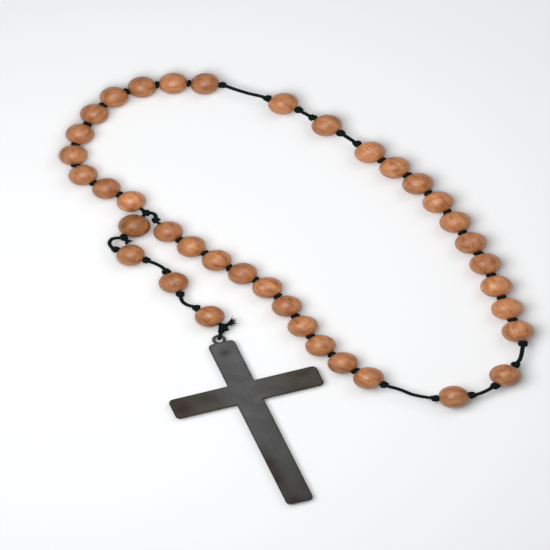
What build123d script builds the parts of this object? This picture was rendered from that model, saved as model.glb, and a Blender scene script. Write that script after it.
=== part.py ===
from build123d import *
import math
import os

# A knotted cord rosary laid out on a flat surface: a loop of three decades and four single
# beads, a larger centre bead, a short pendant of three beads, and a flat cross.
# Millimetres, +Z up. Beads and cross rest on Z = 0, with the origin below the middle.

# --- beads ---
BEAD_DIAMETER = 15.0
BEAD_LENGTH = 13.6  # along the bore
CENTER_BEAD_DIAMETER = 16.4
CENTER_BEAD_LENGTH = 15.2
BORE_DIAMETER = 3.0
MOUTH_FLAT_DIAMETER = 4.8  # flat ring round each end of the bore
MOUTH_ROUNDING = 0.35

# --- cord and knots ---
CORD_DIAMETER = 2.1
FREE_KNOT = (3.4, 4.8)  # length and width of a knot at the end of a group of beads
TIGHT_KNOT = (1.2, 3.8)  # the same for a knot pulled tight between two beads of a decade
KNOT_FLAT_DIAMETER = 2.4  # flat ends of a knot, where the cord comes out
FREE_KNOT_GAP = 2.6  # a link's cord starts this far from the middle of the knot it turns about
TIGHT_KNOT_GAP = 1.9
OPEN_GAP = 0.7  # between the end of the loop and the knot where it is opened
TAIL_DIAMETER = 1.6  # frayed ends beside the two tie knots
STAR_TAIL_LENGTH = 4.6
STAR_TAIL_HEADING = -53
STAR_TAIL_DROP = 0.6  # millimetres down for each millimetre out
TIE_TAIL_LENGTH = 7.0
TIE_TAIL_HEADING = 48
BEND_RADIUS = 4.3 * CORD_DIAMETER
LOOP_BULGE = 2.2  # how far the short cord between the two top knots bows out

# --- spacing along the cord ---
PITCH = 15.8  # knot to knot inside a decade
BEAD_TO_KNOT = 8.8  # bead centre to the free knot beside it
CENTER_TO_TOP_KNOT = 11.0
CENTER_TO_STAR_KNOT = 9.8
TOP_KNOT_TO_BEAD = 11.1
LAST_BEAD_TO_END = 7.9
LAST_PENDANT_HEADING = 314

# --- places and headings, in degrees from +X ---
CENTER_BEAD = (-76.3, 41.8)
CENTER_HEADING = 57
DECADE_1_HEADINGS = (133, 154, 127, 92, 62, 64, 36, 15, 1, -7)
DECADE_2_HEADINGS = (-47, -38, -54, -53, -66, -61, -69, -74, -70, -75)
DECADE_3_HEADINGS = (-214, -226, -229, -246, -236, -231, -207, -224, -212, -233)

# --- cross ---
CROSSING = (-21.4, -73.0)
CROSS_HEADING = 109.7  # of the upright, foot to top
CROSS_HEIGHT = 115.0
CROSS_TOP = 36.5  # from the crossing to the top end
CROSS_SPAN = 76.0
CROSS_BAR = 13.5
CROSS_THICKNESS = 5.0
CROSS_TIP_ROUNDING = 2.2
CROSS_EDGE_ROUNDING = 0.7
EYE_RADIUS = 2.65  # centre line of the round eye above the top end
EYE_WIRE = 1.6
EYE_ABOVE_TOP = 2.1
EYE_HEIGHT = 3.2
TIE_HEADING = 80  # from the middle of the eye to the cord that holds it
TIE_LOOP_RADIUS = 2.1
TIE_LEG_RISE = 0.3
TIE_KNOT_HEIGHT = 6.6
MOUTH_TO_TIE_KNOT = 2.6

BEAD_HEIGHT = BEAD_DIAMETER / 2
CENTER_HEIGHT = CENTER_BEAD_DIAMETER / 2


def unit(heading):
    """The unit vector along a heading in the XY plane."""
    return Vector(math.cos(math.radians(heading)), math.sin(math.radians(heading)), 0)


def heading_plane(point, heading):
    """A level plane at a point, with its X axis along the heading."""
    return Plane(origin=point, x_dir=unit(heading), z_dir=(0, 0, 1))


def bare(length, heading):
    """A run of cord with nothing on it."""
    return {"length": length, "heading": heading, "bead": None, "before": 0}


def beaded(name, heading, before=PITCH / 2, after=PITCH / 2):
    """A run of cord through a bead, which sits a distance after the start of the run."""
    return {"length": before + after, "heading": heading, "bead": name, "before": before}


def single(name, heading, after=BEAD_TO_KNOT):
    """A run through a bead that has a free knot on each side."""
    return beaded(name, heading, BEAD_TO_KNOT, after)


def decade(number, headings, before=BEAD_TO_KNOT, after=BEAD_TO_KNOT):
    """The ten runs of a decade, with the distances outside its first and last beads."""
    names = [f"decade_{number}_bead_{count:02d}" for count in range(1, 11)]
    runs = [beaded(name, heading) for name, heading in zip(names, headings)]
    runs[0] = beaded(names[0], headings[0], before=before)
    runs[-1] = beaded(names[-1], headings[-1], after=after)
    return runs


decade_1 = decade(1, DECADE_1_HEADINGS, before=TOP_KNOT_TO_BEAD)
decade_2 = decade(2, DECADE_2_HEADINGS)
decade_3 = decade(3, DECADE_3_HEADINGS, after=LAST_BEAD_TO_END)

# Each link is one length of cord. It turns about the last knot of the link before it.
LOOP = {
    "decade_1_cord_a": decade_1[:5],
    "decade_1_cord_b": decade_1[5:],
    "single_1_cord": [bare(12.05, -29), bare(12.05, -17), single("single_bead_1", -32)],
    "single_2_cord": [bare(8.5, -38), single("single_bead_2", -40)],
    "decade_2_cord_a": [bare(10.5, -42)] + decade_2[:5],
    "decade_2_cord_b": decade_2[5:],
    "single_3_cord": [bare(8.6, -93), bare(5.75, -118), single("single_bead_3", -124)],
    "single_4_cord": [bare(6.1, -138), bare(6.05, -156), single("single_bead_4", -173)],
    "decade_3_cord_a": [bare(9.45, -188), bare(8.0, -214), bare(8.0, -197)] + decade_3[:5],
    "decade_3_cord_b": decade_3[5:],
}
PENDANT = {
    "pendant_1_cord": [
        bare(5.0, 178),
        bare(3.2, 228),
        bare(3.0, 272),
        bare(4.2, 308),
        single("pendant_bead_1", 335),
    ],
    "pendant_2_cord": [bare(6.4, 336), bare(6.4, 312), single("pendant_bead_2", 292)],
    "pendant_3_cord": [
        bare(4.2, 274),
        bare(4.6, 312),
        bare(5.1, 345),
        single("pendant_bead_3", LAST_PENDANT_HEADING, after=BEAD_LENGTH / 2),
    ],
}


def knot_between(run, following):
    """The size of the knot between two runs: tight between beads, free beside one, or none."""
    beads = [side for side in (run, following) if side and side["bead"]]
    return (None, FREE_KNOT, TIGHT_KNOT)[len(beads)]


def walk(chain, start):
    """Lay the links out one after another: the points, knots and beads of each."""
    runs = [run for link in chain.values() for run in link]
    following = dict(zip(map(id, runs), runs[1:]))
    links, point, knot = {}, start, FREE_KNOT
    for name, link in chain.items():
        gap = TIGHT_KNOT_GAP if knot is TIGHT_KNOT else FREE_KNOT_GAP
        laid = {"pivot": point, "knots": [], "beads": []}
        laid["points"] = [point + unit(link[0]["heading"]) * gap]
        for run in link:
            direction = unit(run["heading"])
            if run["bead"]:
                laid["beads"].append((run["bead"], point + direction * run["before"], run["heading"]))
            point = point + direction * run["length"]
            laid["points"].append(point)
            after = following.get(id(run))
            knot = knot_between(run, after) if after else None
            if knot:
                turn = (after["heading"] - run["heading"] + 180) % 360 - 180
                laid["knots"].append((point, run["heading"] + turn / 2, knot))
        links[name] = laid
    return links


def bend_radii(points):
    """The radius at each corner, as large as its runs and the beads' bores allow."""
    radii = []
    for before, corner, after in zip(points, points[1:], points[2:]):
        half_turn = math.radians((corner - before).get_angle(after - corner)) / 2
        shorter = min((corner - before).length, (after - corner).length)
        radii.append(min(0.45 * shorter / math.tan(half_turn), BEND_RADIUS))
    return radii


def add_cord(name, points):
    """Sweep the round cord along its runs and arcs."""
    radii = bend_radii(points)
    print(name, "bend radii", [round(radius, 1) for radius in radii])
    with BuildLine() as route:
        FilletPolyline(*points, radius=radii)
    with BuildSketch(Plane(origin=route.line @ 0, z_dir=route.line % 0)) as section:
        Circle(CORD_DIAMETER / 2)
    sweep(section.sketch, path=route.line)


def add_knot(point, heading, size):
    """A knot as a round lump about the cord."""
    half, radius, flat = size[0] / 2, size[1] / 2, KNOT_FLAT_DIAMETER / 2
    with BuildSketch(heading_plane(point, heading)) as profile:
        with BuildLine():
            ThreePointArc((-half, flat), (0, radius), (half, flat))
            Polyline((half, flat), (half, 0), (-half, 0), (-half, flat))
        make_face()
    revolve(profile.sketch, axis=Axis(point, unit(heading)))


def add_straight(point, direction, length, diameter):
    """A straight length of cord, or the frayed ends of a tie knot as one short stub."""
    with BuildSketch(Plane(origin=point, z_dir=direction)) as section:
        Circle(diameter / 2)
    extrude(section.sketch, amount=length)


def cord_link(name, link):
    """One length of cord with its knots."""
    with BuildPart() as cord:
        add_cord(name, link["points"])
        for point, heading, size in link["knots"]:
            add_knot(point, heading, size)
    return cord


def bead(point, heading, diameter=BEAD_DIAMETER, length=BEAD_LENGTH):
    """A turned barrel bead with a plain bore along its heading."""
    half, flat, bore = length / 2, MOUTH_FLAT_DIAMETER / 2, BORE_DIAMETER / 2
    with BuildPart() as turned:
        with BuildSketch(heading_plane(point, heading)) as profile:
            with BuildLine():
                ThreePointArc((-half, flat), (0, diameter / 2), (half, flat))
                Polyline((half, flat), (half, bore), (-half, bore), (-half, flat))
            make_face()
            fillet(profile.vertices(), MOUTH_ROUNDING)
        revolve(axis=Axis(point, unit(heading)))
    return turned


# --- the centre strand: star knot, centre bead, top knot, and the short cord to the end knot ---
center = Vector(*CENTER_BEAD, CENTER_HEIGHT)
top_knot = center + unit(CENTER_HEADING) * CENTER_TO_TOP_KNOT
star_knot = center - unit(CENTER_HEADING) * CENTER_TO_STAR_KNOT
drop = Vector(0, 0, BEAD_HEIGHT - CENTER_HEIGHT)

loop = walk(LOOP, top_knot + drop)
pendant = walk(PENDANT, star_knot + drop)

loop_end = loop["decade_3_cord_b"]["points"][-1]
end_heading = DECADE_3_HEADINGS[-1]
end_knot = loop_end - drop + unit(end_heading) * (OPEN_GAP + FREE_KNOT[0] / 2)
across = end_knot - top_knot
bow = unit(math.degrees(math.atan2(across.Y, across.X)) + 90) * LOOP_BULGE


def center_cord():
    """The cord through the centre bead, with the knots that close the loop and the pendant."""
    strand = top_knot - star_knot
    splay = unit(STAR_TAIL_HEADING) - Vector(0, 0, STAR_TAIL_DROP)
    with BuildPart() as cord:
        add_straight(star_knot, strand, strand.length, CORD_DIAMETER)
        add_knot(star_knot, CENTER_HEADING, FREE_KNOT)
        add_knot(top_knot, CENTER_HEADING, FREE_KNOT)
        add_cord("center_cord", [top_knot, top_knot + across / 2 + bow, end_knot])
        add_knot(end_knot, end_heading, FREE_KNOT)
        add_straight(star_knot, splay, STAR_TAIL_LENGTH, TAIL_DIAMETER)
    return cord


# --- the eye of the cross, and the point where the tie cord holds it ---
crossing = Vector(*CROSSING, 0)
eye = crossing + unit(CROSS_HEADING) * (CROSS_TOP + EYE_ABOVE_TOP) + Vector(0, 0, EYE_HEIGHT)
held = eye + unit(TIE_HEADING) * EYE_RADIUS


def tie_cord():
    """The last cord of the pendant: its bead's run, the frayed tie knot and the loop in the eye."""
    link = pendant["pendant_3_cord"]
    mouth = link["points"][-1]
    level_mouth = Vector(mouth.X, mouth.Y, TIE_KNOT_HEIGHT)
    tie_knot = level_mouth + unit(LAST_PENDANT_HEADING) * MOUTH_TO_TIE_KNOT
    loop_plane = Plane(origin=held, x_dir=unit(TIE_HEADING), z_dir=unit(TIE_HEADING + 90))
    top_of_loop = held + unit(TIE_HEADING) * TIE_LOOP_RADIUS
    middle_of_leg = (tie_knot + top_of_loop) / 2 + Vector(0, 0, TIE_LEG_RISE)
    with BuildPart() as cord:
        add_cord("pendant_3_cord", link["points"] + [tie_knot])
        for point, heading, size in link["knots"]:
            add_knot(point, heading, size)
        add_knot(tie_knot, TIE_HEADING, FREE_KNOT)
        add_straight(tie_knot, unit(TIE_TAIL_HEADING), TIE_TAIL_LENGTH, TAIL_DIAMETER)
        add_cord("tie leg", [tie_knot, middle_of_leg, top_of_loop])
        with Locations(loop_plane):
            Torus(TIE_LOOP_RADIUS, CORD_DIAMETER / 2)
    return cord


def cross():
    """A flat cross with rounded tips and a round eye moulded on its top end."""
    plane = heading_plane(crossing, CROSS_HEADING)
    with BuildPart() as slab:
        with BuildSketch(plane) as outline:
            with Locations((CROSS_TOP - CROSS_HEIGHT / 2, 0)):
                Rectangle(CROSS_HEIGHT, CROSS_BAR)
            Rectangle(CROSS_BAR, CROSS_SPAN)
            tips = [v for v in outline.vertices() if (v.center() - crossing).length > CROSS_BAR]
            fillet(tips, CROSS_TIP_ROUNDING)
        extrude(amount=CROSS_THICKNESS)
        rims = edges().group_by(Axis.Z)
        fillet(rims[0] + rims[-1], CROSS_EDGE_ROUNDING)
        with Locations(eye):
            Torus(EYE_RADIUS, EYE_WIRE / 2)
    return slab


# --- every piece, by name ---
pieces = {"center_cord": center_cord(), "cross": cross()}
pieces["center_bead"] = bead(center, CENTER_HEADING, CENTER_BEAD_DIAMETER, CENTER_BEAD_LENGTH)
for link_name, link in (loop | pendant).items():
    pieces[link_name] = tie_cord() if link_name == "pendant_3_cord" else cord_link(link_name, link)
    for bead_name, point, heading in link["beads"]:
        pieces[bead_name] = bead(point, heading)

os.makedirs("parts", exist_ok=True)
for piece_name, piece in pieces.items():
    piece.part.label = piece_name
    export_step(piece.part, f"parts/{piece_name}.step")
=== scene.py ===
import math
import random

import bmesh
import bpy
from mathutils import Matrix, Vector, noise


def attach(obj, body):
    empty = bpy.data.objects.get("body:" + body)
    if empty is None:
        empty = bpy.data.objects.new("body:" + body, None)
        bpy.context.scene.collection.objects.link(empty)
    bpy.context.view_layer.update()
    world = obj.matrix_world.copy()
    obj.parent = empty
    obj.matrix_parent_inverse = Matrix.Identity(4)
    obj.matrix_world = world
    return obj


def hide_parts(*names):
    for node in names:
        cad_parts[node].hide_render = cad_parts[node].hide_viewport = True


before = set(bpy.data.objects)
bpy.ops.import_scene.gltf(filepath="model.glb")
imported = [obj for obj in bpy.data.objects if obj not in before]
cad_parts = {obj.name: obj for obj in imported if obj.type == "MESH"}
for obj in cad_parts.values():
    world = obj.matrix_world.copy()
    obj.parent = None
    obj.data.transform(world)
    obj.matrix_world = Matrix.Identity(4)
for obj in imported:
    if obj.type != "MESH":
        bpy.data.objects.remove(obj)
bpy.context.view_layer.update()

MM = 0.001

# --- the layout of the cord: the same runs and headings as the CAD, lengths in millimetres ---
PITCH = 15.8
BEAD_TO_KNOT = 8.8
TOP_KNOT_TO_BEAD = 11.1
LAST_BEAD_TO_END = 7.9
BEAD_DIAMETER = 15.0
BEAD_LENGTH = 13.6
CENTER_BEAD_DIAMETER = 16.4
CENTER_BEAD_LENGTH = 15.2
CENTER_BEAD = (-76.3, 41.8)
CENTER_HEADING = 57
CENTER_TO_TOP_KNOT = 11.0
CENTER_TO_STAR_KNOT = 9.8
DECADE_1_HEADINGS = (133, 154, 127, 92, 62, 64, 36, 15, 1, -7)
DECADE_2_HEADINGS = (-47, -38, -54, -53, -66, -61, -69, -74, -70, -75)
DECADE_3_HEADINGS = (-214, -226, -229, -246, -236, -231, -207, -224, -212, -233)
LAST_PENDANT_HEADING = 314
CORD_DIAMETER = 2.1
LOOP_BULGE = 2.2  # of the short cord between the top knot and the end knot
END_GAP = 2.4  # from the end of the loop to the middle of the knot it is tied into

# --- the beads' outline and their unevenness ---
BORE_DIAMETER = 3.0
BORE_DEPTHS = (1.6, 3.0)  # from a mouth to the first two points of the outline inside the bore
MOUTH_FLAT_DIAMETER = 4.8
MOUTH_ROUNDING = 0.3
PROFILE_STEPS = 22
BEAD_SIDES = 56
OUT_OF_TRUE = 0.005  # a share of the bead's radius
OUT_OF_TRUE_SCALE = 0.16
OUT_OF_TRUE_SEED = 50  # each bead reads the noise up to this far from its origin
GRAIN_TILT = 0.5  # radians either way
GRAIN_SHIFT = 0.5  # metres either way

# --- how the cord is wound, in millimetres, shares or counts ---
STRANDS = 3
STRAND_OFFSET = 0.24  # a share of the rope's diameter, like the next
STRAND_RADIUS = 0.3
ROPE_LAY = 4.6  # along the rope, in one turn of its strands
ROPE_STEP = 0.35  # between the points of a rope's path
FINE_STEP = 0.3  # the same in a knot and in the legs of the tie
SPLINE_RESOLUTION = 20
TIGHT_KNOT = {"length": 0.8, "radii": (1.7, 1.75), "turns": 2.4, "rope": 1.7}
TIGHT_KNOT_SLANT = 14  # degrees either way
FREE_KNOT = {"length": 3.0, "radii": (1.75, 1.05), "turns": 3.1, "rope": 1.75}
KNOT_WIDTHS = (0.94, 1.06)
COIL_POINTS = 26  # in one turn
COIL_END = 0.14  # the share of a coil over which each end turns in
COIL_CORE = 0.2  # the share of its radius that an end turns in to
COIL_WOBBLE = 0.07

# --- frayed ends: a stub at a knot that opens into fibres ---
STAR_FRAY = {"root": (-53, 1.4), "heading": -53, "rise": -0.3, "length": 4.4, "fibres": 26, "spread": 0.7}
TIE_FRAY = {"root": (30, 1.2), "heading": 34, "rise": 0.02, "length": 6.3, "fibres": 34, "spread": 0.4}
STUB_RADII = (1.1, 1.15, 1.1, 0.95, 0.6)
STUB_STEP = 0.12  # between those radii, a share of the fray's length like the next two
FIBRE_ROOT = 0.3
FIBRE_REACH = (0.5, 0.95)
FIBRE_BEND = 0.2
FIBRE_RADIUS = (0.3, 0.48)
FIBRE_STEPS = 8
FIBRE_TAPER = 0.7
FIBRE_ABOVE_FLOOR = 0.5

# --- the cross and its eye ---
CROSSING = (-21.4, -73.0)
CROSS_HEADING = 109.7
CROSS_HEIGHT = 115.0
CROSS_TOP = 36.5
CROSS_SPAN = 76.0
CROSS_BAR = 13.5
CROSS_THICKNESS = 5.0
CROSS_TIP_ROUNDING = 2.4
CROSS_EDGE_SOFTENING = 0.9
CROSS_LONGEST_EDGE = 6.0  # a longer one in the slab's mesh is cut into four
CROSS_TOP_DEPTH = 0.1  # what lies this near the top face belongs to it
UPRIGHT_FADE = 9.0  # along an arm, as the painted sheen on the upright gives way to the arms' brown
EYE_RADIUS = 2.65
EYE_WIRE = 1.6
EYE_ABOVE_TOP = 2.1
EYE_HEIGHT = 3.2
EYE_STEPS = 48
EYE_SIDES = 14
CROSS_SPOTS = (  # middle, size and strength of each dark spot: along the upright, then to its left
    ((-1, 33), (13, 13), 0.95),
    # painted shade: the next spot darkens the left arm
    ((2, 19), (11, 17), 0.7),
    ((3, -31), (8, 13), 0.6),
    ((29, 0.5), (6, 6), 0.8),
    ((-49, 5), (19, 6), 0.95),
    ((-61, 5), (15, 6), 0.95),
    ((-76, 3), (7, 10), 0.95),
)

# --- the tie: its knots, two legs and the ring of cord through the eye ---
TIE_HEADING = 80
TIE_KNOT_HEIGHT = 6.6
MOUTH_TO_TIE_KNOT = 2.6
TIE_LOWER_KNOT = (0.2, -1.2, -0.6)  # from the upper knot
TIE_KNOT_TURNS = (20, -50)  # of the upper and the lower knot, away from the tie's heading
TIE_LEG_ROPE = 2.0
TIE_LEG_APART = 0.9  # from the middle of the tie, at the knot
TIE_LEG_CLOSING = 0.7  # the share of it that is left at the ring
TIE_LEG_END = (2.2, 0.7)  # along the tie and up, from the point where the eye is held
TIE_RING_ROPE = 1.75
TIE_RING_RADIUS = 2.1
TIE_RING_STEPS = 40

# --- colours: a light, a middle and a dark one of each wood, otherwise a dark and a light one ---
BEAD_WOOD = ((0.64, 0.295, 0.122), (0.485, 0.196, 0.076), (0.3, 0.102, 0.038))
BEAD_STREAK = 0.35
CENTER_WOOD = ((0.54, 0.225, 0.07), (0.38, 0.14, 0.038), (0.17, 0.052, 0.014))
CENTER_STREAK = 0.4
WOOD_PATCHES = ((0.84, 0.8, 0.78), (1.12, 1.12, 1.12))
WOOD_TONES = ((0.8, 0.775, 0.74), (1.1, 1.1, 1.1))
CORD_FIBRES = ((0.001, 0.002, 0.002), (0.003, 0.009, 0.009))
CORD_PATCHES = ((0.75, 0.85, 1.0), (1.2, 1.3, 1.05))
CROSS_BROWN = ((0.032, 0.025, 0.016), (0.057, 0.051, 0.038))
# painted sheen: the upright's grey stands in for a broad reflection of the light on the brown plastic
CROSS_SHEEN_GREY = ((0.053, 0.053, 0.053), (0.079, 0.079, 0.081))
CROSS_GRIT = ((0.82, 0.82, 0.82), (1.18, 1.18, 1.18))
# painted shade: the cross darker toward its foot, where the reflection from above falls off
CROSS_FOOT_SHADE_COLOUR = (0.025, 0.024, 0.02)
CROSS_FOOT_SHADE_FADE = (-0.07, -0.005)  # metres along the upright, from the darkest painted shade to none
CROSS_FOOT_SHADE_STRENGTH = 0.75
# the spots' colour: dark smudges, and painted shade on the left arm
CROSS_SPOT_COLOUR = (0.018, 0.008, 0.005)
CROSS_RIM_COLOUR = (0.045, 0.02, 0.014)

# --- the camera: a long lens nearly overhead, with its sideways axis sheared ---
CAMERA_ELEVATION = 80
CAMERA_DISTANCE = 4.08137
CAMERA_TARGET = (-0.00725, 0.0088, 0)
CAMERA_LENS = 392.7
CAMERA_SENSOR = 36
CAMERA_FARTHEST = 20
CAMERA_SHEAR = -44.748

# --- the stage: places and sizes in metres, power in watts ---
FLOOR_REACH = 3
FLOOR_COLOUR = (0.81, 0.82, 0.83, 1)
FLOOR_ROUGHNESS = 0.75
KEY_LIGHT = {
    "place": (-0.16, -0.07, 0.58),
    "aim": (-0.01, 0, 0),
    "size": 0.48,
    "power": 3.85,
    "colour": (1, 0.995, 0.985),
}
FILL_LIGHT = {
    "place": (0.3, 0.3, 0.7),
    "aim": (0, 0, 0),
    "size": 0.5,
    "power": 1.6,
    "colour": (0.95, 0.98, 1),
}
WORLD_COLOUR = (0.93, 0.96, 1, 1)
WORLD_STRENGTH = 0.18

random.seed(7)


def unit(heading):
    """The unit vector along a heading in degrees, level with the floor."""
    return Vector((math.cos(math.radians(heading)), math.sin(math.radians(heading)), 0))


def bare(length, heading):
    """A run of cord with nothing on it."""
    return {"length": length, "heading": heading, "bead": None}


def beaded(name, heading, before=PITCH / 2, after=PITCH / 2):
    """A run of cord through a bead, which sits a distance after the start of the run."""
    return {"length": before + after, "heading": heading, "bead": name, "before": before}


def single(name, heading, after=BEAD_TO_KNOT):
    """A run through a bead that has a free knot on each side."""
    return beaded(name, heading, BEAD_TO_KNOT, after)


def decade(number, headings, before=BEAD_TO_KNOT, after=BEAD_TO_KNOT):
    """The ten runs of a decade."""
    names = [f"decade_{number}_bead_{count:02d}" for count in range(1, 11)]
    runs = [beaded(name, heading) for name, heading in zip(names, headings)]
    runs[0] = beaded(names[0], headings[0], before=before)
    runs[-1] = beaded(names[-1], headings[-1], after=after)
    return runs


decade_1 = decade(1, DECADE_1_HEADINGS, before=TOP_KNOT_TO_BEAD)
decade_2 = decade(2, DECADE_2_HEADINGS)
decade_3 = decade(3, DECADE_3_HEADINGS, after=LAST_BEAD_TO_END)
LOOP = {
    "decade_1_cord_a": decade_1[:5],
    "decade_1_cord_b": decade_1[5:],
    "single_1_cord": [bare(12.05, -29), bare(12.05, -17), single("single_bead_1", -32)],
    "single_2_cord": [bare(8.5, -38), single("single_bead_2", -40)],
    "decade_2_cord_a": [bare(10.5, -42)] + decade_2[:5],
    "decade_2_cord_b": decade_2[5:],
    "single_3_cord": [bare(8.6, -93), bare(5.75, -118), single("single_bead_3", -124)],
    "single_4_cord": [bare(6.1, -138), bare(6.05, -156), single("single_bead_4", -173)],
    "decade_3_cord_a": [bare(9.45, -188), bare(8.0, -214), bare(8.0, -197)] + decade_3[:5],
    "decade_3_cord_b": decade_3[5:],
}
PENDANT = {
    "pendant_1_cord": [
        bare(5.0, 178),
        bare(3.2, 228),
        bare(3.0, 272),
        bare(4.2, 308),
        single("pendant_bead_1", 335),
    ],
    "pendant_2_cord": [bare(6.4, 336), bare(6.4, 312), single("pendant_bead_2", 292)],
    "pendant_3_cord": [
        bare(4.2, 274),
        bare(4.6, 312),
        bare(5.1, 345),
        single("pendant_bead_3", LAST_PENDANT_HEADING, after=BEAD_LENGTH / 2),
    ],
}


def walk(chain, start):
    """Lay the links out in metres: the route's points, the knots and the beads of each."""
    runs = [run for link in chain.values() for run in link]
    following = dict(zip(map(id, runs), runs[1:]))
    links, point = {}, start
    for name, link in chain.items():
        laid = {"points": [point], "knots": [], "beads": []}
        for run in link:
            direction = unit(run["heading"])
            if run["bead"]:
                middle = point + direction * run["before"] * MM
                laid["beads"].append((run["bead"], middle, run["heading"]))
            point = point + direction * run["length"] * MM
            laid["points"].append(point)
            after = following.get(id(run))
            sides = (bool(run["bead"]), bool(after and after["bead"]))
            if after and any(sides):
                turn = (after["heading"] - run["heading"] + 180) % 360 - 180
                laid["knots"].append((point, run["heading"] + turn / 2, sides))
        links[name] = laid
    return links


# --- where the pieces meet, in metres ---
center = Vector((*CENTER_BEAD, CENTER_BEAD_DIAMETER / 2)) * MM
top_knot = center + unit(CENTER_HEADING) * CENTER_TO_TOP_KNOT * MM
star_knot = center - unit(CENTER_HEADING) * CENTER_TO_STAR_KNOT * MM
drop = Vector((0, 0, BEAD_DIAMETER - CENTER_BEAD_DIAMETER)) * MM / 2
loop = walk(LOOP, top_knot + drop)
pendant = walk(PENDANT, star_knot + drop)
loop_end = loop["decade_3_cord_b"]["points"][-1]
end_heading = DECADE_3_HEADINGS[-1]
end_knot = loop_end - drop + unit(end_heading) * END_GAP * MM
crossing = Vector((*CROSSING, 0)) * MM
eye = crossing + unit(CROSS_HEADING) * (CROSS_TOP + EYE_ABOVE_TOP) * MM + Vector((0, 0, EYE_HEIGHT)) * MM
held = eye + unit(TIE_HEADING) * EYE_RADIUS * MM
mouth = pendant["pendant_3_cord"]["points"][-1]
tie_knot = Vector((mouth.x, mouth.y, TIE_KNOT_HEIGHT * MM))
tie_knot += unit(LAST_PENDANT_HEADING) * MOUTH_TO_TIE_KNOT * MM


# --- camera ---
def add_camera():
    """A long lens at the viewing elevation, sheared sideways through its parent's matrix."""
    camera = bpy.data.objects.new("camera", bpy.data.cameras.new("camera"))
    holder = bpy.data.objects.new("camera_holder", None)
    for thing in (camera, holder):
        bpy.context.collection.objects.link(thing)
    camera.data.lens = CAMERA_LENS
    camera.data.sensor_width = CAMERA_SENSOR
    camera.data.clip_end = CAMERA_FARTHEST
    elevation, shear = math.radians(CAMERA_ELEVATION), math.radians(CAMERA_SHEAR)
    back = Vector((0, -math.cos(elevation), math.sin(elevation))) * CAMERA_DISTANCE
    tilt = Matrix.Rotation(math.pi / 2 - elevation, 4, "X")
    slant = Matrix.Identity(4)
    slant[0][0], slant[2][0] = math.cos(shear), math.sin(shear)
    camera.parent = holder
    camera.matrix_parent_inverse = Matrix.Translation(Vector(CAMERA_TARGET) + back) @ tilt @ slant
    bpy.context.scene.camera = camera


# --- meshes ---
def mesh_object(name, verts, faces):
    """A smooth mesh object from plain lists."""
    mesh = bpy.data.meshes.new(name)
    mesh.from_pydata([tuple(v) for v in verts], [], faces)
    mesh.validate()
    for polygon in mesh.polygons:
        polygon.use_smooth = True
    piece = bpy.data.objects.new(name, mesh)
    bpy.context.collection.objects.link(piece)
    return piece


def route_line(points):
    """Points read from the smooth spline that a route's points control."""
    curve = bpy.data.curves.new("route", "CURVE")
    curve.dimensions = "3D"
    spline = curve.splines.new("NURBS")
    spline.points.add(len(points) - 1)
    for control, point in zip(spline.points, points):
        control.co = (*point, 1)
    spline.order_u = 3
    spline.use_endpoint_u = True
    spline.resolution_u = SPLINE_RESOLUTION
    holder = bpy.data.objects.new("route", curve)
    bpy.context.collection.objects.link(holder)
    bpy.context.view_layer.update()
    line = bpy.data.meshes.new_from_object(holder)
    path = [v.co.copy() for v in line.vertices]
    bpy.data.objects.remove(holder)
    bpy.data.meshes.remove(line)
    return even(path, ROPE_STEP * MM)


def lengths_along(path):
    """How far along a path each of its points lies."""
    lengths = [0]
    for a, b in zip(path, path[1:]):
        lengths.append(lengths[-1] + (b - a).length)
    return lengths


def even(path, step):
    """The same line with its points an even step apart."""
    lengths = lengths_along(path)
    count = max(4, round(lengths[-1] / step))
    out, i = [], 0
    for k in range(count + 1):
        s = lengths[-1] * k / count
        while i < len(path) - 2 and lengths[i + 1] < s:
            i += 1
        span = lengths[i + 1] - lengths[i]
        out.append(path[i].lerp(path[i + 1], (s - lengths[i]) / span if span else 0))
    return out


def frames(path):
    """Two cross directions at each point of a path, carried along without twist."""
    tangents = [(b - a).normalized() for a, b in zip(path, path[1:])]
    tangents.append(tangents[-1].copy())
    side = tangents[0].orthogonal().normalized()
    out = []
    for tangent in tangents:
        side = (side - tangent * side.dot(tangent)).normalized()
        out.append((side.copy(), tangent.cross(side)))
    return out


def add_tube(verts, faces, path, radii, sides=7):
    """A closed round tube along a path, appended to the lists."""
    base = len(verts)
    crosses = frames(path)
    for point, (u, v), radius in zip(path, crosses, radii):
        for k in range(sides):
            a = 2 * math.pi * k / sides
            verts.append(point + (u * math.cos(a) + v * math.sin(a)) * radius)
    for i in range(len(path) - 1):
        for k in range(sides):
            a, b = base + i * sides + k, base + i * sides + (k + 1) % sides
            faces.append((a, b, b + sides, a + sides))
    faces.append(tuple(base + k for k in reversed(range(sides))))
    last = base + (len(path) - 1) * sides
    faces.append(tuple(last + k for k in range(sides)))


def add_rope(verts, faces, path, diameter):
    """Three strands twisted together along a path."""
    offset, radius = STRAND_OFFSET * diameter, STRAND_RADIUS * diameter
    crosses = frames(path)
    lengths = lengths_along(path)
    for strand in range(STRANDS):
        line = []
        for point, (u, v), length in zip(path, crosses, lengths):
            turn = 2 * math.pi * (length / (ROPE_LAY * MM) + strand / STRANDS)
            line.append(point + (u * math.cos(turn) + v * math.sin(turn)) * offset)
        add_tube(verts, faces, line, [radius] * len(line))


def ease(t):
    """A smooth step from 0 to 1."""
    t = min(1, max(0, t))
    return t * t * (3 - 2 * t)


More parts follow.
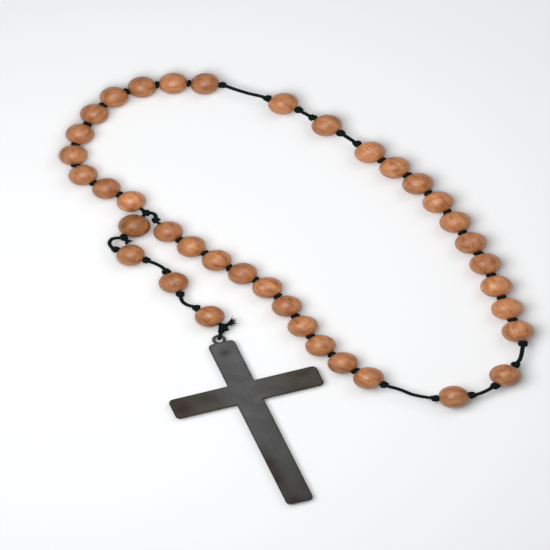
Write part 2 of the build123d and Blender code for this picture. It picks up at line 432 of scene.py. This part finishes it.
def coil_path(middle, axis, length, start_radius, end_radius, turns, phase):
    """A line that winds round an axis, with both ends turned in to it."""
    axis = axis.normalized()
    u = axis.orthogonal().normalized()
    v = axis.cross(u)
    count = int(COIL_POINTS * turns)
    path = []
    for i in range(count + 1):
        t = i / count
        radius = start_radius + (end_radius - start_radius) * t
        radius *= COIL_CORE + (1 - COIL_CORE) * ease(t / COIL_END) * ease((1 - t) / COIL_END)
        angle = phase + 2 * math.pi * turns * t
        wobble = 1 + COIL_WOBBLE * math.sin(3 * angle + phase)
        around = u * math.cos(angle) + v * math.sin(angle)
        path.append(middle + axis * ((t - 0.5) * length) + around * radius * wobble)
    return even(path, FINE_STEP * MM)


def add_knot(verts, faces, point, heading, sides):
    """A knot wound from the cord: a tight band between beads, a tapered one beside a single bead."""
    phase = random.uniform(0, 2 * math.pi)
    width = random.uniform(*KNOT_WIDTHS)
    if all(sides):
        form = TIGHT_KNOT
        axis = unit(heading + random.uniform(-TIGHT_KNOT_SLANT, TIGHT_KNOT_SLANT))
    else:
        form = FREE_KNOT
        axis = unit(heading) if sides[0] else -unit(heading)
    start_radius, end_radius = [radius * MM * width for radius in form["radii"]]
    path = coil_path(point, axis, form["length"] * MM, start_radius, end_radius, form["turns"], phase)
    add_rope(verts, faces, path, form["rope"] * MM)


def random_vector(reach):
    """A vector with each coordinate up to a reach either way."""
    return Vector([random.uniform(-reach, reach) for _ in range(3)])


def add_fray(verts, faces, knot, fray):
    """A short stub of cord at a knot that opens into frayed fibres at its cut end."""
    heading, distance = fray["root"]
    start = knot + unit(heading) * distance * MM
    direction = (unit(fray["heading"]) + Vector((0, 0, fray["rise"]))).normalized()
    length = fray["length"] * MM
    stub = [start + direction * length * STUB_STEP * i for i in range(len(STUB_RADII))]
    add_tube(verts, faces, stub, [radius * MM for radius in STUB_RADII], sides=10)
    for _ in range(fray["fibres"]):
        aim = (direction + random_vector(fray["spread"])).normalized()
        bend = random_vector(1) * FIBRE_BEND
        root = start + direction * random.uniform(0, FIBRE_ROOT) * length
        reach = length * random.uniform(*FIBRE_REACH)
        steps = [i / FIBRE_STEPS for i in range(FIBRE_STEPS + 1)]
        path = [root + (aim * t + bend * t * t) * reach for t in steps]
        for point in path:
            point.z = max(point.z, FIBRE_ABOVE_FLOOR * MM)
        radius = random.uniform(*FIBRE_RADIUS) * MM
        add_tube(verts, faces, path, [radius * (1 - FIBRE_TAPER * t ** 1.5) for t in steps], sides=6)


# --- node materials ---
class Look:
    """A node material being put together; its methods add nodes and return their outputs."""

    def __init__(self, name):
        self.material = bpy.data.materials.new(name)
        self.material.use_nodes = True
        self.nodes = self.material.node_tree.nodes
        self.links = self.material.node_tree.links
        self.shader = self.nodes["Principled BSDF"]

    def attribute(self, name, output):
        """A value that is stored on the mesh."""
        node = self.nodes.new("ShaderNodeAttribute")
        node.attribute_name = name
        return node.outputs[output]

    def noise(self, vector, scale, detail, roughness, distortion=0.0):
        """A noise texture on a vector."""
        node = self.nodes.new("ShaderNodeTexNoise")
        node.inputs["Scale"].default_value = scale
        node.inputs["Detail"].default_value = detail
        node.inputs["Roughness"].default_value = roughness
        node.inputs["Distortion"].default_value = distortion
        self.links.new(vector, node.inputs["Vector"])
        return node.outputs["Fac"]

    def ramp(self, fac, positions, colours):
        """A colour ramp from the first position and colour to the last."""
        node = self.nodes.new("ShaderNodeValToRGB")
        elements = node.color_ramp.elements
        while len(elements) < len(positions):
            elements.new(0.5)
        for element, position, colour in zip(elements, positions, colours):
            element.position = position
            element.color = (*colour, 1)
        self.links.new(fac, node.inputs["Fac"])
        return node.outputs["Color"]

    def mix(self, fac, a, b, blend="MIX"):
        """Two colours mixed; each input is an output of another node, a number or a colour."""
        node = self.nodes.new("ShaderNodeMix")
        node.data_type = "RGBA"
        node.blend_type = blend
        for value, entry in ((fac, node.inputs[0]), (a, node.inputs[6]), (b, node.inputs[7])):
            if isinstance(value, bpy.types.NodeSocket):
                self.links.new(value, entry)
            elif isinstance(value, tuple):
                entry.default_value = (*value, 1)
            else:
                entry.default_value = value
        return node.outputs[2]

    def span(self, value, source, target):
        """A value carried from one range to another."""
        node = self.nodes.new("ShaderNodeMapRange")
        self.links.new(value, node.inputs["Value"])
        for key, number in zip(("From Min", "From Max", "To Min", "To Max"), (*source, *target)):
            node.inputs[key].default_value = number
        return node.outputs["Result"]

    def squeezed(self, vector, share):
        """A vector squeezed along the grain, which draws out what is read from it."""
        node = self.nodes.new("ShaderNodeMapping")
        node.inputs["Scale"].default_value = (1, 1, share)
        self.links.new(vector, node.inputs["Vector"])
        return node.outputs["Vector"]

    def bump(self, height, strength, distance, before=None):
        """A bump from a height, on top of an earlier one."""
        node = self.nodes.new("ShaderNodeBump")
        node.inputs["Strength"].default_value = strength
        node.inputs["Distance"].default_value = distance
        self.links.new(height, node.inputs["Height"])
        if before:
            self.links.new(before, node.inputs["Normal"])
        return node.outputs["Normal"]

    def finish(self, colour, roughness, normal, specular):
        """Fill the shader's main inputs; returns the finished material."""
        self.links.new(colour, self.shader.inputs["Base Color"])
        self.links.new(roughness, self.shader.inputs["Roughness"])
        self.links.new(normal, self.shader.inputs["Normal"])
        self.shader.inputs["Specular IOR Level"].default_value = specular
        return self.material


def wood_material(name, colours, streak):
    """Satin turned wood: soft mottling, fine grain and pores, read from each bead's own grain."""
    look = Look(name)
    light, middle, dark = colours
    vector = look.attribute("grain", "Vector")
    tone = look.attribute("tone", "Fac")
    rings = look.noise(look.squeezed(vector, 0.3), scale=330, detail=4, roughness=0.55, distortion=0.5)
    fine = look.noise(look.squeezed(vector, 0.1), scale=1900, detail=3, roughness=0.6)
    patches = look.noise(vector, scale=170, detail=3, roughness=0.55, distortion=0.8)
    pores = look.noise(look.squeezed(vector, 0.2), scale=3400, detail=1, roughness=0.4)
    colour = look.ramp(rings, (0.3, 0.48, 0.72), (dark, middle, light))
    colour = look.mix(look.span(fine, (0.42, 0.75), (0, streak)), colour, dark)
    colour = look.mix(0.9, colour, look.ramp(patches, (0.32, 0.68), WOOD_PATCHES), "MULTIPLY")
    colour = look.mix(1.0, colour, look.ramp(tone, (0, 1), WOOD_TONES), "MULTIPLY")
    colour = look.mix(look.span(pores, (0.64, 0.74), (0, 0.4)), colour, dark)
    normal = look.bump(fine, strength=0.1, distance=0.05 * MM)
    normal = look.bump(rings, strength=0.4, distance=0.2 * MM, before=normal)
    look.shader.inputs["Coat Weight"].default_value = 0.16
    look.shader.inputs["Coat Roughness"].default_value = 0.2
    return look.finish(colour, look.span(fine, (0.3, 0.7), (0.38, 0.52)), normal, specular=0.5)


def cord_material():
    """Dark green-black waxed thread with fine fibres."""
    look = Look("cord")
    place = look.nodes.new("ShaderNodeTexCoord").outputs["Object"]
    fibres = look.noise(place, scale=5200, detail=3, roughness=0.6)
    patches = look.noise(place, scale=260, detail=2, roughness=0.5)
    colour = look.ramp(fibres, (0.35, 0.7), CORD_FIBRES)
    colour = look.mix(1.0, colour, look.ramp(patches, (0.4, 0.65), CORD_PATCHES), "MULTIPLY")
    normal = look.bump(fibres, strength=0.5, distance=0.12 * MM)
    return look.finish(colour, look.span(fibres, (0.3, 0.7), (0.5, 0.7)), normal, specular=0.12)


def spot_on_cross(look, vector, middle, size, strength):
    """A soft spot: its strength in the middle, fading to nothing at its size."""
    node = look.nodes.new("ShaderNodeMapping")
    node.vector_type = "TEXTURE"
    node.inputs["Location"].default_value = Vector((*middle, CROSS_THICKNESS)) * MM
    node.inputs["Scale"].default_value = Vector((*size, CROSS_THICKNESS * 2)) * MM
    look.links.new(vector, node.inputs["Vector"])
    sphere = look.nodes.new("ShaderNodeTexGradient")
    sphere.gradient_type = "QUADRATIC_SPHERE"
    look.links.new(node.outputs["Vector"], sphere.inputs["Vector"])
    return look.span(sphere.outputs["Fac"], (0, 0.8), (0, strength))


def cross_material():
    """Satin dark plastic: brown arms, painted sheen in grey on the upright, painted shade toward the
    foot, cloudy patches, dark spots (one of them painted shade on the left arm) and a brown rim.
    """
    look = Look("cross")
    vector = look.attribute("grain", "Vector")
    clouds = look.noise(vector, scale=60, detail=4, roughness=0.6, distortion=0.6)
    fine = look.noise(vector, scale=900, detail=4, roughness=0.6)
    brown = look.ramp(clouds, (0.32, 0.68), CROSS_BROWN)
    # painted sheen: grey over the brown on the upright, fading out along the arms
    sheen_grey = look.ramp(clouds, (0.3, 0.7), CROSS_SHEEN_GREY)
    colour = look.mix(look.attribute("upright", "Fac"), brown, sheen_grey)
    split = look.nodes.new("ShaderNodeSeparateXYZ")
    look.links.new(vector, split.inputs["Vector"])
    # painted shade: darker toward the foot
    foot = look.span(split.outputs["X"], CROSS_FOOT_SHADE_FADE, (CROSS_FOOT_SHADE_STRENGTH, 0))
    colour = look.mix(foot, colour, CROSS_FOOT_SHADE_COLOUR)
    for spot in CROSS_SPOTS:
        colour = look.mix(spot_on_cross(look, vector, *spot), colour, CROSS_SPOT_COLOUR)
    colour = look.mix(0.5, colour, look.ramp(fine, (0.3, 0.7), CROSS_GRIT), "MULTIPLY")
    wear = look.noise(vector, scale=240, detail=3, roughness=0.6)
    worn = look.nodes.new("ShaderNodeMath")
    worn.operation = "MULTIPLY"
    look.links.new(look.span(wear, (0.35, 0.65), (0.15, 0.75)), worn.inputs[0])
    look.links.new(look.attribute("edge", "Fac"), worn.inputs[1])
    colour = look.mix(worn.outputs[0], colour, CROSS_RIM_COLOUR)
    normal = look.bump(fine, strength=0.08, distance=0.06 * MM)
    return look.finish(colour, look.span(clouds, (0.3, 0.7), (0.52, 0.4)), normal, specular=0.12)


bead_wood = wood_material("bead_wood", BEAD_WOOD, BEAD_STREAK)
center_wood = wood_material("center_wood", CENTER_WOOD, CENTER_STREAK)
cord_look = cord_material()
cross_look = cross_material()


# --- pieces ---
def attribute(piece, name, kind, values):
    """A value for each vertex, stored on the mesh."""
    layer = piece.data.attributes.new(name, kind, "POINT")
    for item, value in zip(layer.data, values):
        if kind == "FLOAT":
            item.value = value
        else:
            item.vector = value


def bead_profile(diameter, length):
    """Half outline of a barrel bead, from inside the bore round to inside it at the other end."""
    bore, flat, lip = BORE_DIAMETER / 2, MOUTH_FLAT_DIAMETER / 2, MOUTH_ROUNDING
    half, rise = length / 2, diameter / 2 - flat
    radius = (half * half + rise * rise) / (2 * rise)
    low = diameter / 2 - radius
    sweep = math.asin(half / radius)
    if low > flat:
        sweep = math.pi - sweep
    barrel = []
    for i in range(1, PROFILE_STEPS):
        a = -sweep + 2 * sweep * i / PROFILE_STEPS
        barrel.append((radius * math.sin(a), low + radius * math.cos(a)))
    near, far = BORE_DEPTHS
    # the mouth: out of the bore, over its lip and across the flat
    start = [
        (-half + near, bore),
        (-half + lip, bore),
        (-half + lip * 0.2, bore + lip * 0.4),
        (-half, bore + lip),
        (-half, flat - lip * 1.6),
        (-half + lip / 6, flat - lip * 0.7),
    ]
    end = [(-x, y) for x, y in reversed(start)]
    inner = [(half - far, bore), (0, bore), (-half + far, bore)]
    return start + barrel + end + inner


def add_bead(name, place, heading, diameter, length, look, body):
    """A turned wooden bead, very slightly out of true, with its own run of grain."""
    profile = bead_profile(diameter, length)
    axis, up = unit(heading), Vector((0, 0, 1))
    across = up.cross(axis)
    turn = Matrix.Rotation(random.uniform(0, 2 * math.pi), 3, "Z")
    turn = turn @ Matrix.Rotation(random.uniform(-GRAIN_TILT, GRAIN_TILT), 3, "X")
    shift = random_vector(GRAIN_SHIFT)
    seed = random_vector(OUT_OF_TRUE_SEED)
    tone = random.random()
    verts, faces, grains = [], [], []
    for x, radius in profile:
        for k in range(BEAD_SIDES):
            a = 2 * math.pi * k / BEAD_SIDES
            local = Vector((x, radius * math.cos(a), radius * math.sin(a)))
            if radius > MOUTH_FLAT_DIAMETER / 2:
                local *= 1 + OUT_OF_TRUE * noise.noise(local * OUT_OF_TRUE_SCALE + seed)
            verts.append(place + (axis * local.x + across * local.y + up * local.z) * MM)
            grains.append(turn @ Vector((local.y, local.z, local.x)) * MM + shift)
    for i in range(len(profile)):
        row, next_row = i * BEAD_SIDES, (i + 1) % len(profile) * BEAD_SIDES
        for k in range(BEAD_SIDES):
            beside = (k + 1) % BEAD_SIDES
            faces.append((row + k, row + beside, next_row + beside, next_row + k))
    piece = mesh_object(name + "_turned", verts, faces)
    attribute(piece, "grain", "FLOAT_VECTOR", grains)
    attribute(piece, "tone", "FLOAT", [tone] * len(verts))
    piece.data.materials.append(look)
    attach(piece, body)
    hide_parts(name)


def finish_cord(name, verts, faces, body):
    """A piece made of cord, on a body."""
    piece = mesh_object(name, verts, faces)
    piece.data.materials.append(cord_look)
    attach(piece, body)
    return piece


def add_link(name, link, extra=()):
    """One link of the cord: its rope, the rope's path, and the mesh lists of its knots."""
    path = route_line(link["points"] + list(extra))
    verts, faces = [], []
    add_rope(verts, faces, path, CORD_DIAMETER * MM)
    rope = finish_cord(name + "_rope", verts, faces, name)
    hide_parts(name)
    verts, faces = [], []
    for point, heading, sides in link["knots"]:
        near = min(path, key=lambda p: (p - point).length)
        add_knot(verts, faces, near, heading, sides)
    return rope, path, verts, faces


def add_loop():
    """The links of the loop."""
    for name, link in loop.items():
        rope, path, verts, faces = add_link(name, link)
        [finish_cord(name + "_knots", verts, faces, name)] if verts else []


def add_tie(verts, faces):
    """The two tie knots, the legs below them, the ring of cord through the eye and the frayed end."""
    upper_turn, lower_turn = TIE_KNOT_TURNS
    add_knot(verts, faces, tie_knot, TIE_HEADING + upper_turn, (True, False))
    lower_knot = tie_knot + Vector(TIE_LOWER_KNOT) * MM
    add_knot(verts, faces, lower_knot, TIE_HEADING + lower_turn, (False, True))
    along, up = unit(TIE_HEADING), Vector((0, 0, 1))
    leg_end = held + along * TIE_LEG_END[0] * MM + up * TIE_LEG_END[1] * MM
    for side in (-TIE_LEG_APART, TIE_LEG_APART):
        apart = unit(TIE_HEADING + 90) * side * MM
        leg = even([tie_knot + apart, leg_end + apart * TIE_LEG_CLOSING], FINE_STEP * MM)
        add_rope(verts, faces, leg, TIE_LEG_ROPE * MM)
    ring = []
    for i in range(TIE_RING_STEPS + 1):
        a = 2 * math.pi * i / TIE_RING_STEPS
        ring.append(held + (along * math.cos(a) + up * math.sin(a)) * TIE_RING_RADIUS * MM)
    add_rope(verts, faces, ring, TIE_RING_ROPE * MM)
    add_fray(verts, faces, tie_knot, TIE_FRAY)


def add_pendant():
    """The links of the pendant; the last one runs on into the tie."""
    for name, link in pendant.items():
        last = name == "pendant_3_cord"
        rope, path, verts, faces = add_link(name, link, [tie_knot] if last else [])
        if last:
            add_tie(verts, faces)
        finish_cord(name + "_knots", verts, faces, name)


def add_center_cord():
    """The strand through the centre bead, the short cord to the end knot, and their knots and fray."""
    verts, faces = [], []
    add_rope(verts, faces, even([star_knot, top_knot], ROPE_STEP * MM), CORD_DIAMETER * MM)
    across = end_knot - top_knot
    bow = Vector((-across.y, across.x, 0)).normalized() * LOOP_BULGE * MM
    short = route_line([top_knot, top_knot + across / 2 + bow * 2, end_knot])
    add_rope(verts, faces, short, CORD_DIAMETER * MM)
    add_knot(verts, faces, star_knot, CENTER_HEADING, (False, True))
    add_knot(verts, faces, top_knot, CENTER_HEADING, (True, False))
    add_knot(verts, faces, end_knot, end_heading, (True, False))
    add_fray(verts, faces, star_knot, STAR_FRAY)
    strand = finish_cord("center_cord_rope", verts, faces, "center_cord")
    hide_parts("center_cord")


def add_beads():
    """The centre bead, then the small beads in the order of the cord."""
    size = CENTER_BEAD_DIAMETER, CENTER_BEAD_LENGTH
    add_bead("center_bead", center, CENTER_HEADING, *size, center_wood, "center_bead")
    for link in (loop | pendant).values():
        for bead_name, place, heading in link["beads"]:
            add_bead(bead_name, place, heading, BEAD_DIAMETER, BEAD_LENGTH, bead_wood, bead_name)


def rounded_outline():
    """The cross's outline, with round tips, in its own axes: X up the upright, Y across it."""
    half = CROSS_BAR / 2
    top, foot, arm = CROSS_TOP, CROSS_TOP - CROSS_HEIGHT, CROSS_SPAN / 2
    corners = [(top, half), (half, half), (half, arm), (-half, arm), (-half, half), (foot, half)]
    corners += [(x, -y) for x, y in reversed(corners)]
    outline = []
    for x, y in corners:
        if max(abs(x), abs(y)) < CROSS_BAR:
            outline.append((x, y))
            continue
        cx = x - math.copysign(CROSS_TIP_ROUNDING, x)
        cy = y - math.copysign(CROSS_TIP_ROUNDING, y)
        middle = math.atan2(y - cy, x - cx)
        arc = []
        for turn in range(-45, 46, 15):
            a = middle + math.radians(turn)
            arc.append((cx + CROSS_TIP_ROUNDING * math.cos(a), cy + CROSS_TIP_ROUNDING * math.sin(a)))
        last = outline[-1] if outline else (top, 0)
        if math.dist(arc[-1], last) < math.dist(arc[0], last):
            arc.reverse()
        outline += arc
    return outline


def cross_slab():
    """The vertices and faces of the cross's slab, with softened edges, in its own axes."""
    build = bmesh.new()
    face = build.faces.new([build.verts.new((x * MM, y * MM, 0)) for x, y in rounded_outline()])
    moved = bmesh.ops.extrude_face_region(build, geom=[face])["geom"]
    top = [part for part in moved if isinstance(part, bmesh.types.BMVert)]
    bmesh.ops.translate(build, verts=top, vec=(0, 0, CROSS_THICKNESS * MM))
    bmesh.ops.recalc_face_normals(build, faces=build.faces)
    rims = [e for e in build.edges if abs(e.verts[0].co.z - e.verts[1].co.z) < 1e-9]
    softening = CROSS_EDGE_SOFTENING * MM
    bmesh.ops.bevel(build, geom=rims, offset=softening, segments=5, profile=0.5, affect="EDGES")
    bmesh.ops.triangulate(build, faces=[f for f in build.faces if len(f.verts) > 4])
    long_edges = [e for e in build.edges if e.calc_length() > CROSS_LONGEST_EDGE * MM]
    bmesh.ops.subdivide_edges(build, edges=long_edges, cuts=3, use_grid_fill=True)
    mesh = bpy.data.meshes.new("cross_slab")
    build.to_mesh(mesh)
    build.free()
    verts = [v.co.copy() for v in mesh.vertices]
    faces = [tuple(p.vertices) for p in mesh.polygons]
    bpy.data.meshes.remove(mesh)
    return verts, faces


def add_cross():
    """The flat cross: its slab and its moulded eye, as one piece."""
    up, across = unit(CROSS_HEADING), unit(CROSS_HEADING + 90)
    verts, faces = cross_slab()
    slab_count = len(verts)
    local_eye = Vector((CROSS_TOP + EYE_ABOVE_TOP, 0, EYE_HEIGHT)) * MM
    ring = []
    for i in range(EYE_STEPS + 1):
        a = 2 * math.pi * i / EYE_STEPS
        ring.append(local_eye + Vector((math.cos(a), math.sin(a), 0)) * EYE_RADIUS * MM)
    add_tube(verts, faces, ring, [EYE_WIRE / 2 * MM] * len(ring), EYE_SIDES)
    place = [crossing + up * v.x + across * v.y + Vector((0, 0, v.z)) for v in verts]
    piece = mesh_object("cross_moulding", place, faces)
    piece.data.set_sharp_from_angle(angle=math.radians(30))
    half = CROSS_BAR / 2 * MM
    upright, edge = [], []
    for i, v in enumerate(verts):
        out = max(0, abs(v.y) - half)
        upright.append(math.exp(-out / (UPRIGHT_FADE * MM)))
        on_top = i < slab_count and v.z > (CROSS_THICKNESS - CROSS_TOP_DEPTH) * MM
        edge.append(0.0 if on_top else 1.0)
    attribute(piece, "grain", "FLOAT_VECTOR", verts)
    attribute(piece, "upright", "FLOAT", upright)
    attribute(piece, "edge", "FLOAT", edge)
    piece.data.materials.append(cross_look)
    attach(piece, "cross")
    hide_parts("cross")


# --- stage ---
def add_light(name, place, aim, size, power, colour):
    """A soft square light."""
    light = bpy.data.lights.new(name, "AREA")
    light.energy, light.size, light.color = power, size, colour
    lamp = bpy.data.objects.new(name, light)
    bpy.context.collection.objects.link(lamp)
    lamp.location = place
    lamp.rotation_euler = (Vector(aim) - Vector(place)).to_track_quat("-Z", "Y").to_euler()


def add_stage():
    """A plain pale floor, a large key light and a weaker fill light above it, and a pale world."""
    corners = [(x * FLOOR_REACH, y * FLOOR_REACH, 0) for x, y in ((-1, -1), (1, -1), (1, 1), (-1, 1))]
    floor = mesh_object("floor", corners, [(0, 1, 2, 3)])
    look = Look("floor")
    look.shader.inputs["Base Color"].default_value = FLOOR_COLOUR
    look.shader.inputs["Roughness"].default_value = FLOOR_ROUGHNESS
    floor.data.materials.append(look.material)
    add_light("key", **KEY_LIGHT)
    add_light("fill", **FILL_LIGHT)
    world = bpy.context.scene.world or bpy.data.worlds.new("world")
    bpy.context.scene.world = world
    world.use_nodes = True
    background = world.node_tree.nodes["Background"]
    background.inputs["Color"].default_value = WORLD_COLOUR
    background.inputs["Strength"].default_value = WORLD_STRENGTH
    bpy.context.scene.view_settings.view_transform = "Standard"


add_camera()
add_loop()
add_pendant()
add_center_cord()
add_beads()
add_cross()
add_stage()
